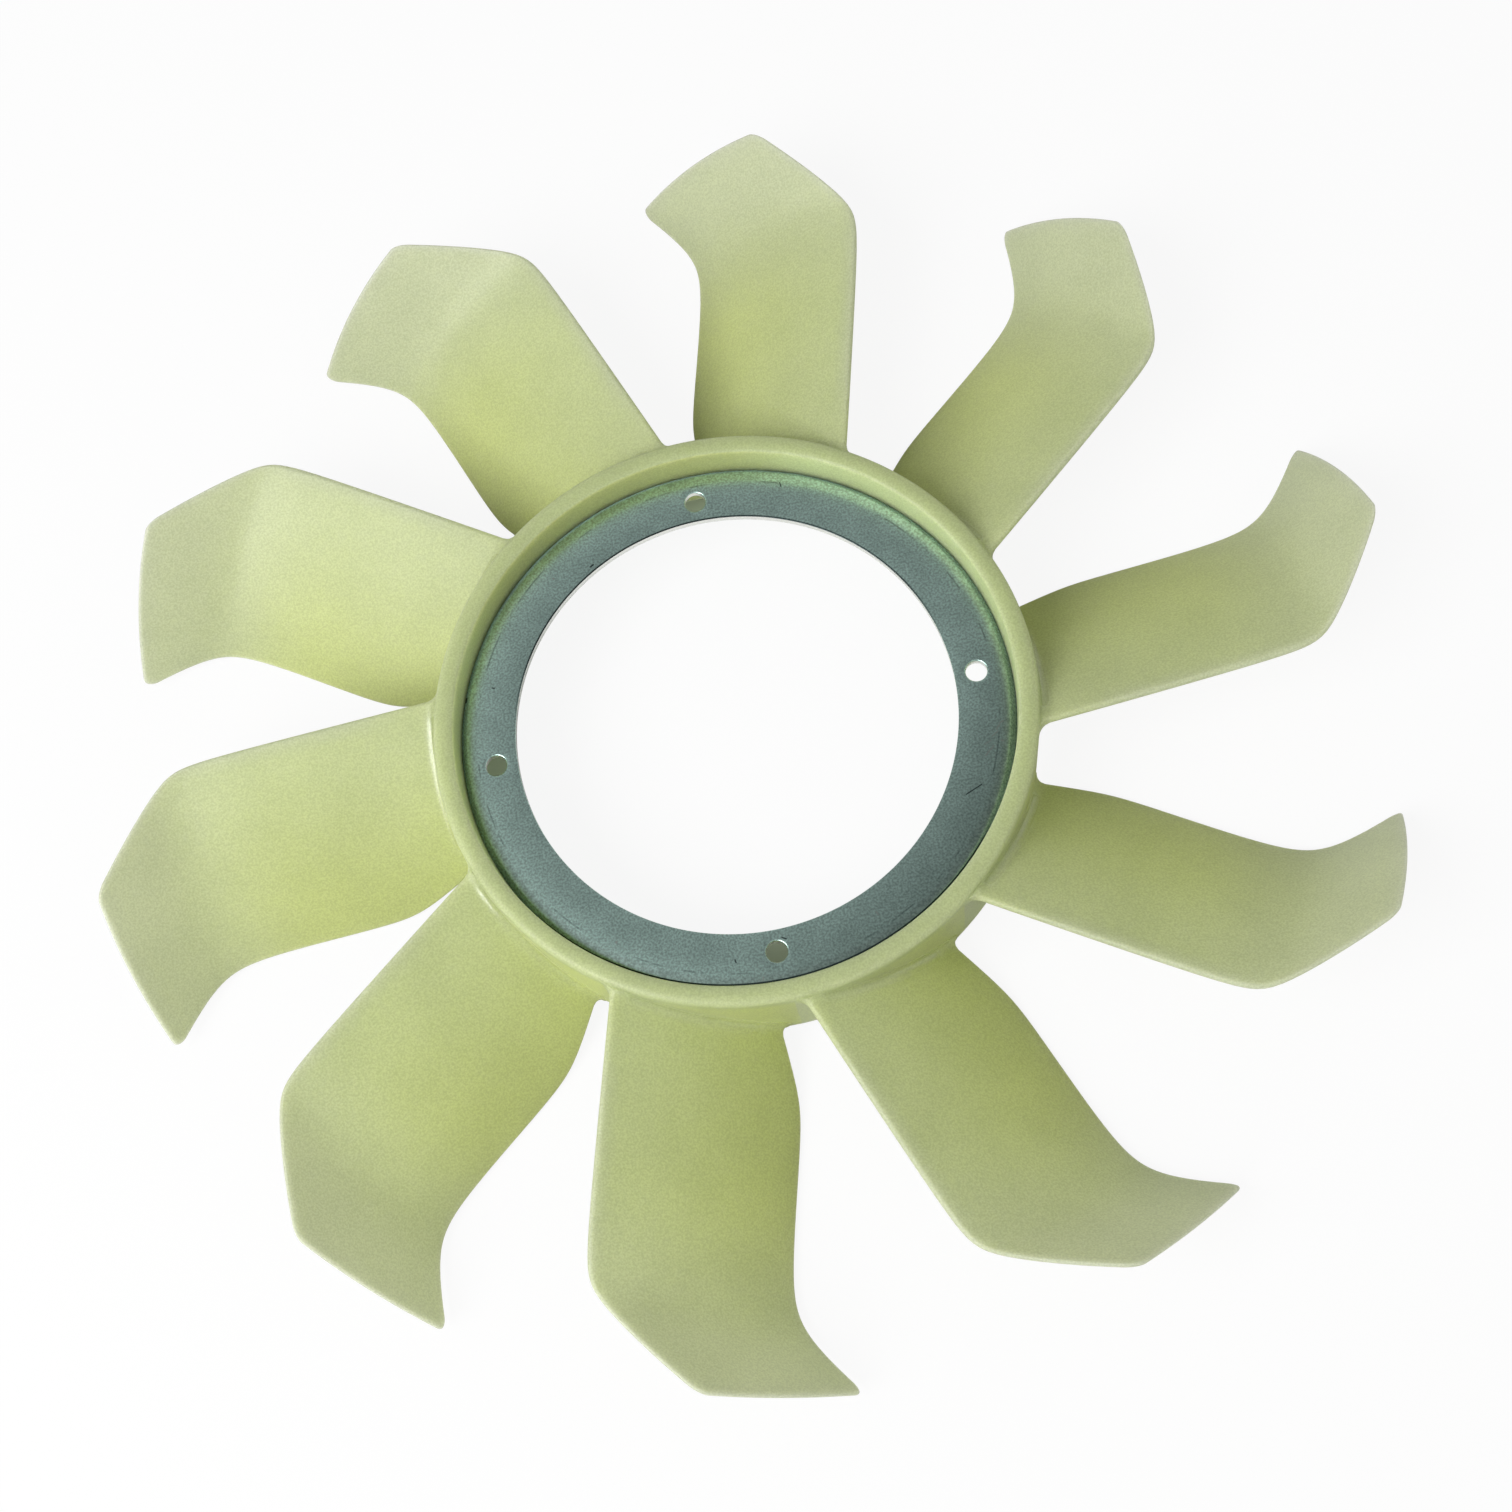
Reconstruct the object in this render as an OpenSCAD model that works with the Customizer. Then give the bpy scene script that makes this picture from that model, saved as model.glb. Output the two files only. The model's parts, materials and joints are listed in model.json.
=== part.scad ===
// Engine cooling fan: ten blades and a hub ring moulded as one piece round a steel mounting ring.
// Millimetres. The origin is the centre of the bolt circle on the ring's front face, and +Z is the
// fan's axis, towards the side that the hub's rim stands on.

/* [Mounting ring] */
// Diameter of the bolt circle
bolt_circle_d = 150; // [146:1:154]
// Number of bolt holes
bolt_count = 4; // [3:1:6]
// Diameter of a bolt hole, a clearance hole for a 6 mm bolt
bolt_hole_d = 6.6; // [5.5:0.1:8]
// Width of the steel between the bolt circle and the centre opening
opening_margin = 6.8; // [6:0.1:10]
// Width of the flat steel between the bolt circle and the step at the hub wall
flat_margin = 7.7; // [6:0.1:9]
// Width of that step
step_w = 3; // [2:0.1:4]
// Depth of that step
step_depth = 3; // [1:0.1:4]
// Thickness of the steel
ring_t = 2.5; // [2:0.1:3.5]
// Length of the steel rim that is moulded into the hub wall
ring_grip = 3; // [2:0.2:4]

/* [Hub] */
// How far the inner wall leans out between the ring and the rim
cup_draft = 0.4; // [0:0.1:2]
// Width of the rim
rim_w = 6.3; // [5.4:0.1:9]
// Radius of the rim's inner corner
rim_inner_round = 1; // [0.4:0.1:2]
// Radius of the rim's outer corner
rim_outer_round = 1.8; // [0.6:0.1:3]
// How far the outer wall leans in between the rim and the back edge
hub_draft = 0.3; // [0:0.1:1]
// Height of the rim above the ring's front face
rim_height = 9.4; // [8:0.2:12]
// Depth of the hub behind the ring's front face
hub_depth = 24; // [22:0.5:28]
// Step out of the inner wall from the front of the ring to the back of it
skirt_step = 0.8; // [0:0.1:1.5]
// How far the inner wall leans out between the ring and the back edge
skirt_draft = 1; // [0:0.1:2]
// Chamfer on both corners of the back edge
back_chamfer = 0.8; // [0.2:0.1:1.5]

/* [Blades] */
// Number of blades
blade_count = 10; // [7:1:11]
// Diameter across the blade tips
fan_d = 403; // [398:1:410]
// Thickness of a blade
blade_t = 2.4; // [1.8:0.1:3.2]
// Angle from a bolt hole to the axis line of the nearest blade
blade_phase = 4.2; // [0:0.1:9]
// Rise of the blade's middle above its chord at the hub
camber_root = 2.2; // [0:0.1:4]
// Rise of the blade's middle above its chord at the tip
camber_tip = 3.2; // [0:0.1:5]
// Radius of the fillet between blade and hub wall
root_fillet = 3; // [1:0.2:4]
// Length of the blade root that is sunk in the hub wall
root_sink = 2.4; // [1.5:0.1:3]

/* [Front edge of a blade] */
// Offset of the straight front edge from the blade's axis line
front_y = 29.7; // [27:0.1:31]
// Depth of the front edge at the hub below the top of the rim
front_root_drop = 3.4; // [3:0.1:6]
// Distance in from the tip at which the front edge turns
front_kink_in = 24.7; // [16:0.1:32]
// Height of the front edge at that turn
front_kink_z = 9.3; // [7:0.1:11]
// Offset of the front edge at the tip, on the other side of the axis line
front_tip_y = 6; // [0:0.1:10]
// Height of the front edge at the tip
front_tip_z = 12.5; // [10:0.1:14]
// Width over which the turn is rounded
front_kink_round = 5; // [1:0.5:12]
// Radius of the front corner of the tip
front_corner = 2.6; // [1:0.1:6]

/* [Rear edge of a blade] */
// Offset of the rear edge from the axis line at the hub
rear_root_y = 18.1; // [15:0.1:20]
// Distance of the rear edge at the hub from the hub's back edge
rear_root_margin = 2.6; // [2.2:0.1:5]
// Distance out from the hub at which the rear edge stops falling back
rear_bulge_out = 23.4; // [18:0.1:32]
// Offset of the rear edge there
rear_bulge_y = 25.7; // [23:0.1:28]
// Depth of the rear edge there
rear_bulge_depth = 31.1; // [28:0.1:34]
// Width over which that corner is rounded
rear_bulge_round = 8.4; // [1:0.5:14]
// Distance in from the tip at which the rear edge turns out towards the hooked tip
rear_kink_in = 22.3; // [15:0.1:32]
// Offset of the rear edge there
rear_kink_y = 24; // [20:0.1:28]
// Depth of the rear edge there
rear_kink_depth = 28.7; // [26:0.1:32]
// Width over which that corner is rounded
rear_kink_round = 10.4; // [1:0.5:16]
// Offset of the rear edge at the tip
rear_tip_y = 47.9; // [40:0.1:54]
// Depth of the rear edge at the tip
rear_tip_depth = 26.5; // [24:0.1:30]
// Radius of the rear corner of the tip
rear_corner = 4.2; // [1:0.1:8]

/* [Hidden] */

round_fn = 180;
cut_margin = 1;

// Radii from the bolt circle outwards
opening_r = bolt_circle_d / 2 - opening_margin;
flat_r = bolt_circle_d / 2 + flat_margin;
cup_r = flat_r + step_w;
cup_mouth_r = cup_r + cup_draft;
wall_r = cup_mouth_r + rim_w;
wall_back_r = wall_r - hub_draft;
skirt_r = cup_r + skirt_step;
skirt_back_r = skirt_r + skirt_draft;
ring_r = cup_r + ring_grip;

// Shift between the bends of the two faces of the stepped sheet, which keeps its thickness
bend_shift = ring_t * tan(atan2(step_depth, step_w) / 2);

// Edges of a blade as broken lines of [radius, offset, height]
tip_r = fan_d / 2;
front_kink_r = tip_r - front_kink_in;
rear_bulge_r = wall_r + rear_bulge_out;
rear_kink_r = tip_r - rear_kink_in;
front_edge = [
    [wall_r, -front_y, rim_height - front_root_drop],
    [front_kink_r, -front_y, front_kink_z],
    [tip_r, front_tip_y, front_tip_z]
];
rear_edge = [
    [wall_r, rear_root_y, rear_root_margin - hub_depth],
    [rear_bulge_r, rear_bulge_y, -rear_bulge_depth],
    [rear_kink_r, rear_kink_y, -rear_kink_depth],
    [tip_r, rear_tip_y, -rear_tip_depth]
];
front_rounds = [0, front_kink_round, 0];
rear_rounds = [0, rear_bulge_round, rear_kink_round, 0];

// Columns round a blade's edge, in degrees, and spaces across its middle
edge_angles = [0, 45, 90];
middle_spaces = 4;
// Height that the sunk root keeps above the back edge
root_inset = 0.4;
// Share of the thickness that is left at the outermost point of the tip
tip_share = 0.4;

// Stations along the span: the fillet, the body with its two bends, and the tip's corners
fillet_angles = [0, 30, 60, 90];
corner_angles = [0, 35, 65, 90];
corner_r = max(front_corner, rear_corner);
span_start = wall_r + root_fillet;
span_end = tip_r - corner_r;
bend_in = rear_bulge_r;
bend_out = (front_kink_r + rear_kink_r) / 2;
bend_half = (front_kink_round + rear_kink_round) / 2;
stations = concat(
    [wall_r - root_sink],
    [for (a = fillet_angles) wall_r + root_fillet * (1 - cos(a))],
    [for (f = [0.5, 0.85]) span_start + f * (bend_in - span_start)],
    [for (f = [0.06, 0.3, 0.65]) bend_in + f * (bend_out - bend_half - bend_in)],
    [for (f = [-1, -0.4, 0.1, 0.6]) bend_out + f * bend_half],
    [bend_out + 0.6 * (span_end - bend_out)],
    [for (a = corner_angles) span_end + corner_r * sin(a)]
);

// Zero before the bend and straight after it, with the bend rounded over the width w
function soft_step(d, w) = (d + sqrt(d * d + w * w)) / 2;

function slope(line, i, axis) =
    (line[i + 1][axis] - line[i][axis]) / (line[i + 1][0] - line[i][0]);

function total(values, i = 0) = i < len(values) ? values[i] + total(values, i + 1) : 0;

// Offset (axis 1) or height (axis 2) of a broken line at radius r, with its corners rounded
function along(line, rounds, r, axis) =
    line[0][axis] + slope(line, 0, axis) * (r - line[0][0])
    + total([for (i = [1:1:len(line) - 2])
        (slope(line, i, axis) - slope(line, i - 1, axis)) * soft_step(r - line[i][0], rounds[i])]);

function front_point(r) = [for (axis = [1, 2]) along(front_edge, front_rounds, r, axis)];
function rear_point(r) = [for (axis = [1, 2]) along(rear_edge, rear_rounds, r, axis)];

// Length that a corner of radius c takes off the edge at radius r
function corner_cut(r, c) = let (t = min(1, max(0, (r - tip_r + c) / c))) c * (1 - sqrt(1 - t * t));

// Extra half thickness of the root's fillet: a quarter circle hollow, tangent to wall and blade
function fillet_rise(r) =
    let (d = min(1, max(0, (r - wall_r) / root_fillet))) root_fillet * (1 - sqrt(1 - pow(1 - d, 2)));

// Half thickness at radius r, thinner over the last half thickness of the tip
function half_thickness(r) =
    r < tip_r ? blade_t / 2 + fillet_rise(r) : blade_t / 2 * tip_share;

// Distances along the chord and half thicknesses there, from the front end to the rear end
function columns(start, end, h) = concat(
    [for (a = edge_angles) [start + h * (1 - cos(a)), h * sin(a)]],
    [for (i = [1:middle_spaces - 1]) [start + h + (end - start - 2 * h) * i / middle_spaces, h]],
    [for (i = [len(edge_angles) - 1:-1:0])
        [end - h * (1 - cos(edge_angles[i])), h * sin(edge_angles[i])]]
);

// Point of the blade at radius r, at distance s along the chord and at offset n from its middle
function blade_point(r, s, n) =
    let (
        a = front_point(r),
        b = rear_point(r),
        chord = norm(b - a),
        along_chord = (b - a) / chord,
        normal = [-along_chord[1], along_chord[0]],
        camber = camber_root + (camber_tip - camber_root) * (r - wall_r) / (tip_r - wall_r),
        share = s / chord,
        p = a + along_chord * s + normal * (n + 4 * camber * share * (1 - share)),
        lowest = root_inset - hub_depth,
        highest = rim_height - rim_outer_round,
        z = r < span_start ? min(highest, max(lowest, p[1])) : p[1]
    )
    [sqrt(r * r - p[0] * p[0]), p[0], z];

// Ring of points at one station: the front face from front to rear, then the back face
function station_ring(r) =
    let (
        chord = norm(rear_point(r) - front_point(r)),
        rise = fillet_rise(r),
        cols = columns(corner_cut(r, front_corner) - rise, chord - corner_cut(r, rear_corner) + rise,
            half_thickness(r)),
        last = len(cols) - 1
    )
    concat(
        [for (i = [0:last]) blade_point(r, cols[i][0], cols[i][1])],
        [for (i = [last - 1:-1:1]) blade_point(r, cols[i][0], -cols[i][1])]
    );

// Skin between the rings, and a flat lid on the first and on the last ring
function skin(rings, n) = [for (i = [0:rings - 2], j = [0:n - 1])
    let (a = i * n + j, b = i * n + (j + 1) % n)
    each [[a, b, b + n], [a, b + n, a + n]]];
function lid(first, n, flip) = [for (j = [0:n / 2 - 1])
    let (
        up = first + j,
        up_next = first + j + 1,
        low = first + (n - j) % n,
        low_next = first + n - j - 1,
        corners = j == 0 ? [up, up_next, low_next]
            : j == n / 2 - 1 ? [up, up_next, low]
            : [up, up_next, low_next, low]
    )
    flip ? [for (i = [len(corners) - 1:-1:0]) corners[i]] : corners];

module blade() {
    rings = [for (r = stations) station_ring(r)];
    n = len(rings[0]);
    points = [for (ring = rings) each ring];
    faces = concat(
        skin(len(rings), n),
        lid(0, n, true),
        lid((len(rings) - 1) * n, n, false)
    );
    polyhedron(points = points, faces = faces, convexity = 6);
}

// Half section of the hub: flat rim with round corners, tapered walls and the groove that grips
// the steel ring
module hub_section() {
    translate([cup_mouth_r + rim_inner_round, rim_height - rim_inner_round])
        circle(r = rim_inner_round);
    translate([wall_r - rim_outer_round, rim_height - rim_outer_round])
        circle(r = rim_outer_round);
    polygon([
        [cup_r, -step_depth],
        [cup_mouth_r, rim_height - rim_inner_round],
        [cup_mouth_r + rim_inner_round, rim_height],
        [wall_r - rim_outer_round, rim_height],
        [wall_r, rim_height - rim_outer_round],
        [wall_back_r, back_chamfer - hub_depth],
        [wall_back_r - back_chamfer, -hub_depth],
        [skirt_back_r + back_chamfer, -hub_depth],
        [skirt_back_r, back_chamfer - hub_depth],
        [skirt_r, -step_depth - ring_t],
        [ring_r, -step_depth - ring_t],
        [ring_r, -step_depth]
    ]);
}

module fan_moulding() {
    color([0.80, 0.85, 0.56]) {
        rotate_extrude($fn = round_fn) hub_section();
        for (k = [0:blade_count - 1])
            rotate([0, 0, blade_phase + k * 360 / blade_count]) blade();
    }
}

// Half section of the sheet: flat at the bolts, then a step down into the hub wall
module ring_section() {
    polygon([
        [opening_r, 0],
        [flat_r, 0],
        [cup_r, -step_depth],
        [ring_r, -step_depth],
        [ring_r, -step_depth - ring_t],
        [cup_r - bend_shift, -step_depth - ring_t],
        [flat_r - bend_shift, -ring_t],
        [opening_r, -ring_t]
    ]);
}

module mounting_ring() {
    color([0.50, 0.55, 0.55])
    difference() {
        rotate_extrude($fn = round_fn) ring_section();
        for (k = [0:bolt_count - 1])
            rotate([0, 0, k * 360 / bolt_count])
            translate([bolt_circle_d / 2, 0, -ring_t - cut_margin])
                cylinder(d = bolt_hole_d, h = ring_t + 2 * cut_margin, $fn = round_fn);
    }
}

fan_moulding();
mounting_ring();
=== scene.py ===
"""Dresses the engine cooling fan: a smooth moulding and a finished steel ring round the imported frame.

Lengths are written in millimetres, as on the part's drawing, and MM turns them into metres. The
origin is the centre of the bolt circle on the ring's front face, and +Z is the fan's axis.
"""

import json
import math

import bmesh
import bpy
import numpy as np
from mathutils import Matrix, Vector

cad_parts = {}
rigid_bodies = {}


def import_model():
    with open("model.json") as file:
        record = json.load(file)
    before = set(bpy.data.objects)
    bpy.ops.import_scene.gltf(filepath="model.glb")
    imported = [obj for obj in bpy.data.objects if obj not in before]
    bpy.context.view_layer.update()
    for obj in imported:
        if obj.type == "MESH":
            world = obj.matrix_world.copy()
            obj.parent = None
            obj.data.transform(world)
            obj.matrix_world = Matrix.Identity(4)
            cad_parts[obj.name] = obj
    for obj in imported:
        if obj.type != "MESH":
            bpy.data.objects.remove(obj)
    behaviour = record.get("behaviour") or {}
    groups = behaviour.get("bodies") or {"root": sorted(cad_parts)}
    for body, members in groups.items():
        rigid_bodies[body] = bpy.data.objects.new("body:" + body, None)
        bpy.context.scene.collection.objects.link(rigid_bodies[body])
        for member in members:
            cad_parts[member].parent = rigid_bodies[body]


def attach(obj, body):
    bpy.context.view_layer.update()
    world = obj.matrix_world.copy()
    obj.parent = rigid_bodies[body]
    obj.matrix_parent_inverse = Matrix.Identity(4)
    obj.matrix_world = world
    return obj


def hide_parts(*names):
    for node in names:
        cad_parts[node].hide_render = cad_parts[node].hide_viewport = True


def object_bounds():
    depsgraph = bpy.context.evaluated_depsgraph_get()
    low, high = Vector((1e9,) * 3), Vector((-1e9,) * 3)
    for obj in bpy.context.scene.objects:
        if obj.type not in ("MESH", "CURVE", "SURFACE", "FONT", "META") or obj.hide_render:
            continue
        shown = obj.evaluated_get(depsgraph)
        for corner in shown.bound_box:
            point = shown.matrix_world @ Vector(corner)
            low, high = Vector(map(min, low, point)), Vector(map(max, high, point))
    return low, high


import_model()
cad_low, cad_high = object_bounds()

MM = 0.001

# Steel ring
BOLT_CIRCLE_R = 75.0
BOLT_COUNT = 4
BOLT_HOLE_R = 3.3
HOLE_EDGE_ROUND = 0.45
OPENING_R = 68.2
OPENING_EDGE_ROUND = 0.25
RING_T = 2.5
RING_R = 88.7
STEP_DEPTH = 3.0
CREASE_R = 80.4
DISH_ANGLE = math.radians(7)
STEP_ANGLE = math.radians(55)
BEND_R = 0.8

# Hub wall
CUP_R = 85.7
CUP_MOUTH_R = 86.1
HUB_R = 92.4
HUB_BACK_R = 92.1
RIM_HEIGHT = 9.4
RIM_INNER_ROUND = 1.0
RIM_OUTER_ROUND = 1.8
RIM_SLOPE = 14.0
HUB_DEPTH = 24.0
SKIRT_R = 86.5
SKIRT_BACK_R = 87.5
BACK_EDGE_ROUND = 0.8
FOOT_GAP = 0.06
FOOT_GAP_DEPTH = 0.15

# Blades
BLADE_COUNT = 10
BLADE_PHASE = math.radians(4.2)
TIP_R = 201.5
BLADE_T = 2.4
CAMBER_ROOT = 2.2
CAMBER_TIP = 3.2
ROOT_FILLET = 3.0
ROOT_SINK = 2.4
ROOT_INSET = 0.4
FRONT_CORNER = 2.6
REAR_CORNER = 4.2

# Edges of a blade as broken lines of (radius, offset from the axis line, height), and the width
# over which each corner between two stretches is rounded
FRONT_EDGE = ((HUB_R, -29.7, 6.0), (176.8, -29.7, 9.3), (TIP_R, 6.0, 12.5))
FRONT_ROUNDS = (5.0,)
REAR_EDGE = (
    (HUB_R, 18.1, -21.4),
    (115.8, 25.7, -31.1),
    (179.2, 24.0, -28.7),
    (TIP_R, 47.9, -26.5),
)
REAR_ROUNDS = (8.4, 10.4)
OFFSET = 1
HEIGHT = 2

# Azimuth ahead of a blade's middle at which the blade's share of the turn starts
BLADE_START = math.radians(20.5)

# Steps of the grids
HUB_STEPS = 600
INNER_STEPS = 6
OUTER_STEPS = 18
SKIRT_STEPS = 5
RING_STEPS = 480
HOLE_STEPS = 64
FACE_STEPS = 22
EDGE_STEPS = 9
FILLET_STATIONS = 10
BODY_STATIONS = 58
TIP_STATIONS = 15
ARC_STEPS = 8
OPENING_ARC_STEPS = 4
HOLE_ARC_STEPS = 6
DOME_STEPS = 13

# How far the cutters of the bolt holes stand out past the steel, and the least share of the
# thickness that is left at a blade's tip
CUTTER_PAST = 1.0
TIP_FLAT = 0.1

# Edges sharper than these angles, in degrees, stay crisp
MOULDING_CRISP = 40
RING_CRISP = 30


def grid_mesh(name, points, closed_rows=False, closed_columns=False, caps=False):
    """Mesh of a grid of points: cell (i, j) is the quad between rows i, i+1 and columns j, j+1.

    A closed direction joins its last line to its first. Caps close the first and the last row.
    """
    rows, columns = points.shape[:2]
    i = np.arange(rows if closed_rows else rows - 1)
    j = np.arange(columns if closed_columns else columns - 1)
    i, j = (a.ravel() for a in np.meshgrid(i, j, indexing="ij"))
    i_next = (i + 1) % rows
    j_next = (j + 1) % columns
    quads = np.stack(
        [i * columns + j, i_next * columns + j, i_next * columns + j_next, i * columns + j_next],
        axis=1,
    )
    faces = quads.tolist()
    if caps:
        first = list(range(columns))
        last = [(rows - 1) * columns + k for k in reversed(range(columns))]
        faces += [first, last]
    mesh = bpy.data.meshes.new(name)
    mesh.from_pydata((points.reshape(-1, 3) * MM).tolist(), [], faces)
    mesh.update()
    return mesh


def outward(mesh):
    """Turns the faces of a closed mesh so that they all point outwards."""
    work = bmesh.new()
    work.from_mesh(mesh)
    bmesh.ops.recalc_face_normals(work, faces=work.faces)
    work.to_mesh(mesh)
    work.free()
    return mesh


def piece(name, mesh):
    """An object at the origin that holds the mesh."""
    made = bpy.data.objects.new(name, mesh)
    bpy.context.scene.collection.objects.link(made)
    return made


def combine(body, tools, operation):
    """Adds or cuts the tool meshes into the body's mesh, and leaves one closed mesh."""
    for number, tool in enumerate(tools):
        helper = piece(f"{body.name}_tool_{number}", tool)
        step = body.modifiers.new("combine", "BOOLEAN")
        step.operation = operation
        step.solver = "MANIFOLD"
        step.object = helper
    bpy.context.view_layer.update()
    graph = bpy.context.evaluated_depsgraph_get()
    result = bpy.data.meshes.new_from_object(body.evaluated_get(graph))
    body.modifiers.clear()
    body.data = result
    for number in range(len(tools)):
        helper = bpy.data.objects[f"{body.name}_tool_{number}"]
        bpy.data.objects.remove(helper)


def smooth(made, angle):
    """Smooth shading, with edges sharper than the angle in degrees left crisp."""
    made.data.shade_smooth()
    made.data.set_sharp_from_angle(angle=math.radians(angle))


def arc(centre, radius, start, end, steps=ARC_STEPS):
    """Points of a circle's arc in the (radius, height) plane: centre plus radius times
    (cosine, sine) of an angle that runs evenly from start to end, in degrees."""
    angle = np.radians(np.linspace(start, end, steps + 1))
    return np.stack([centre[0] + radius * np.cos(angle), centre[1] + radius * np.sin(angle)], axis=1)


def revolve(profile, steps, centre=(0.0, 0.0)):
    """Closed profile of (radius, height) points turned about a vertical line: the point at turn
    angle t is (centre + radius times (cosine t, sine t), height)."""
    turn = np.arange(steps) * 2 * math.pi / steps
    radius = profile[:, 0][:, None]
    return np.stack(
        [
            centre[0] + radius * np.cos(turn),
            centre[1] + radius * np.sin(turn),
            np.broadcast_to(profile[:, 1][:, None], (len(profile), steps)),
        ],
        axis=-1,
    )


def soft_step(distance, width):
    """Zero before a corner and straight after it: half of (d plus the root of d squared plus
    width squared)."""
    return (distance + np.sqrt(distance**2 + width**2)) / 2


def along(line, rounds, radius, axis):
    """Broken line at a radius: its first value, plus its first slope times the distance, plus at
    each corner the change of slope times the soft step past that corner."""
    slopes = [(b[axis] - a[axis]) / (b[0] - a[0]) for a, b in zip(line, line[1:])]
    value = line[0][axis] + slopes[0] * (radius - line[0][0])
    for corner, width, before, after in zip(line[1:], rounds, slopes, slopes[1:]):
        value = value + (after - before) * soft_step(radius - corner[0], width)
    return value


def quarter(share):
    """Fall of a quarter circle: one minus the root of one minus the square of a share from 0 to 1."""
    return 1 - np.sqrt(1 - np.clip(share, 0, 1) ** 2)


def section(start, end, half):
    """Outline of a blade's section, per station: distances along the chord, and offsets from the
    middle line.

    Two straight faces a thickness apart are joined by half circles: distance is start plus half
    plus a share of the length on the front face, end minus half plus half times the sine of an
    angle round the rear edge, and the same back again.
    """
    share = np.linspace(0, 1, FACE_STEPS + 1)[None, :]
    bend = np.linspace(0, math.pi, EDGE_STEPS + 1)[None, 1:-1]
    start, end, half = (a[:, None] for a in (start, end, half))
    straight = start + half + (end - start - 2 * half) * share
    distance = np.concatenate(
        [
            straight,
            end - half + half * np.sin(bend),
            straight[:, ::-1],
            start + half - half * np.sin(bend),
        ],
        axis=1,
    )
    face = np.broadcast_to(half, straight.shape)
    offset = np.concatenate([face, half * np.cos(bend), -face, -half * np.cos(bend)], axis=1)
    return distance, offset


def blade_points():
    """Grid of a blade's skin: one row for each station radius, one column round the section.

    A station's section lies on the cylinder of its radius. Its chord runs from the front edge to
    the rear edge, its middle line rises above the chord by 4 c q (1 - q) at the share q, and each
    point stands off the middle line by its offset, square to it: s along the chord and n above it.
    Near the hub the half thickness and both ends grow by a hollow quarter circle, which is the
    fillet.
    """
    fillet = HUB_R + ROOT_FILLET * quarter(np.linspace(0, 1, FILLET_STATIONS))
    body = np.linspace(HUB_R + ROOT_FILLET, TIP_R - REAR_CORNER, BODY_STATIONS)[1:-1]
    corner_turn = np.linspace(0, math.pi / 2, TIP_STATIONS)
    corner = TIP_R - REAR_CORNER + REAR_CORNER * np.sin(corner_turn)
    radius = np.concatenate([[HUB_R - ROOT_SINK], fillet, body, corner])

    front = [along(FRONT_EDGE, FRONT_ROUNDS, radius, axis) for axis in (OFFSET, HEIGHT)]
    rear = [along(REAR_EDGE, REAR_ROUNDS, radius, axis) for axis in (OFFSET, HEIGHT)]
    chord = np.hypot(rear[0] - front[0], rear[1] - front[1])
    across = (rear[0] - front[0]) / chord
    down = (rear[1] - front[1]) / chord
    camber = CAMBER_ROOT + (CAMBER_TIP - CAMBER_ROOT) * (radius - HUB_R) / (TIP_R - HUB_R)

    rise = ROOT_FILLET * quarter(1 - (radius - HUB_R) / ROOT_FILLET)
    front_cut = FRONT_CORNER * quarter((radius - TIP_R + FRONT_CORNER) / FRONT_CORNER)
    rear_cut = REAR_CORNER * quarter((radius - TIP_R + REAR_CORNER) / REAR_CORNER)
    tip_share = np.clip((radius - TIP_R + BLADE_T / 2) / (BLADE_T / 2), 0, 1)
    half = BLADE_T / 2 * np.sqrt(np.maximum(1 - tip_share**2, TIP_FLAT**2)) + rise

    distance, offset = section(front_cut - rise, chord - rear_cut + rise, half)
    q = distance / chord[:, None]
    middle = 4 * camber[:, None] * q * (1 - q)
    tilt = 4 * camber[:, None] * (1 - 2 * q) / chord[:, None]
    length = np.sqrt(1 + tilt**2)
    s = distance - offset * tilt / length
    n = middle + offset / length
    y = front[0][:, None] + s * across[:, None] - n * down[:, None]
    z = front[1][:, None] + s * down[:, None] + n * across[:, None]
    near_hub = (radius < HUB_R + ROOT_FILLET)[:, None]
    z = np.where(near_hub, np.clip(z, ROOT_INSET - HUB_DEPTH, RIM_HEIGHT - RIM_OUTER_ROUND), z)
    x = np.sqrt(radius[:, None] ** 2 - y**2)
    return np.stack([x, y, z], axis=-1)


def turned(points, angle):
    """Points turned about the axis: (x cosine - y sine, x sine + y cosine, z)."""
    c, s = math.cos(angle), math.sin(angle)
    x, y, z = np.moveaxis(points, -1, 0)
    return np.stack([x * c - y * s, x * s + y * c, z], axis=-1)


def rim_profile():
    """Outline of the hub's rim: an inner corner, a low dome and an outer corner.

    The dome's height is the straight line between the corners plus its rise times one minus the
    square of a share that runs from -1 to 1. The rise gives its ends the corners' slope.
    """
    inner_centre = (CUP_MOUTH_R + RIM_INNER_ROUND, RIM_HEIGHT - RIM_INNER_ROUND)
    outer_centre = (HUB_R - RIM_OUTER_ROUND, RIM_HEIGHT - RIM_OUTER_ROUND)
    inner = arc(inner_centre, RIM_INNER_ROUND, 180, 90 + RIM_SLOPE)
    outer = arc(outer_centre, RIM_OUTER_ROUND, 90 - RIM_SLOPE, 0)
    share = np.linspace(-1, 1, DOME_STEPS)[1:-1, None]
    dome = inner[-1] + (outer[0] - inner[-1]) * (share + 1) / 2
    rise = math.tan(math.radians(RIM_SLOPE)) * (outer[0][0] - inner[-1][0]) / 4
    dome[:, 1:] += rise * (1 - share**2)
    return np.concatenate([inner, dome, outer])


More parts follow.
